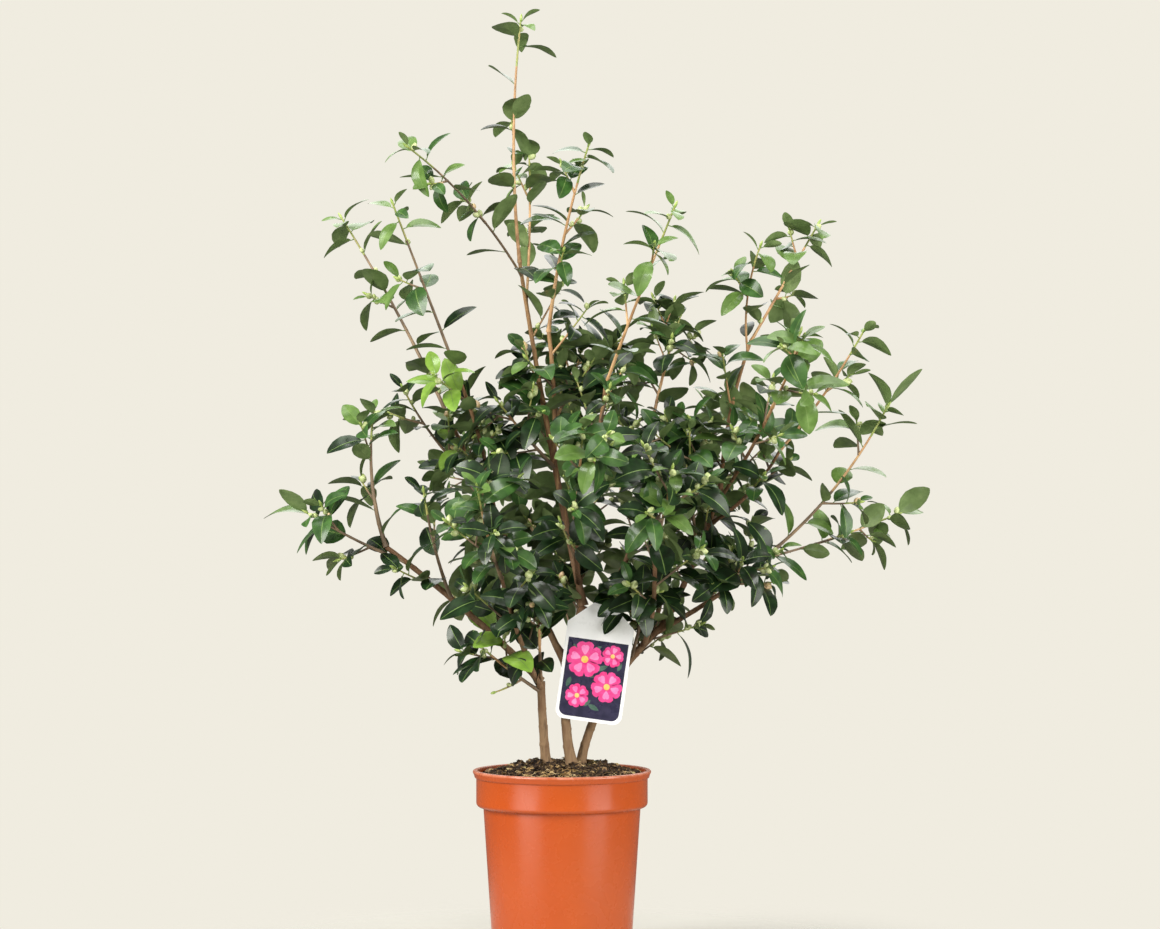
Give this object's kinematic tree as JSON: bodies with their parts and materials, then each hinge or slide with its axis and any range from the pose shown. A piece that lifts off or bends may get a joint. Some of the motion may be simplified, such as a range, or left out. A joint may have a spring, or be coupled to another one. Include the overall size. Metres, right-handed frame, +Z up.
{
  "type": "potted camellia shrub",
  "caption": "Young evergreen shrub with branching stems, open leafy crown and small buds, growing in a round plastic nursery pot, with a hanging plant label.",
  "frame": {"origin": "centre of the pot's flat underside, on the surface it stands on", "axes": "+Z up along the stems; +X to the side that the longest low bough reaches; -Y is the side that the label faces"},
  "size_m": [0.7156, 0.5343, 1.0119],
  "materials": {
    "pot": "satin moulded terracotta-orange plastic",
    "soil": "moist peat and bark potting mix",
    "bark": "smooth young bark, tan at the foot and red-brown above",
    "foliage": "leathery glossy leaves on thin green-brown twigs",
    "label": "thin printed plastic card"
  },
  "bodies": {
    "root": {"pot": "pot", "soil": "soil", "stem_left": "bark", "stem_middle": "bark", "stem_right": "bark", "bough_low_left": "bark", "bough_left": "bark", "bough_leader": "bark", "bough_inner_left": "bark", "bough_second": "bark", "bough_right": "bark", "bough_low_right": "bark", "bough_upper_right": "bark", "bough_front_of_right": "bark", "bough_far_right": "bark", "bough_top_right": "bark", "bough_middle_right": "bark", "bough_front_left": "bark", "bough_front": "bark", "bough_front_right": "bark", "bough_back_left": "bark", "bough_back": "bark", "bough_back_right": "bark", "label": "label", "leaves_far_left": "foliage", "leaves_left_low": "foliage", "leaves_left_inner": "foliage", "leaves_left_middle": "foliage", "leaves_left_tall": "foliage", "leaves_inner_left_tall": "foliage", "leaves_top_left": "foliage", "leaves_top": "foliage", "leaves_top_back": "foliage", "leaves_second_top": "foliage", "leaves_top_right": "foliage", "leaves_middle_right": "foliage", "leaves_upper_right": "foliage", "leaves_upper_right_inner": "foliage", "leaves_front_of_right": "foliage", "leaves_far_right": "foliage", "leaves_low_far_right": "foliage", "leaves_lowest_right": "foliage", "leaves_low_right": "foliage", "leaves_low_left": "foliage", "leaves_core_left": "foliage", "leaves_core_top": "foliage", "leaves_core_right": "foliage", "leaves_front_left": "foliage", "leaves_front": "foliage", "leaves_front_right": "foliage", "leaves_back_left": "foliage", "leaves_back": "foliage", "leaves_back_right": "foliage", "leaves_front_low": "foliage", "leaves_inner_right": "foliage", "leaves_inner_back": "foliage", "leaves_inner_left": "foliage"}
  },
  "joints": []
}
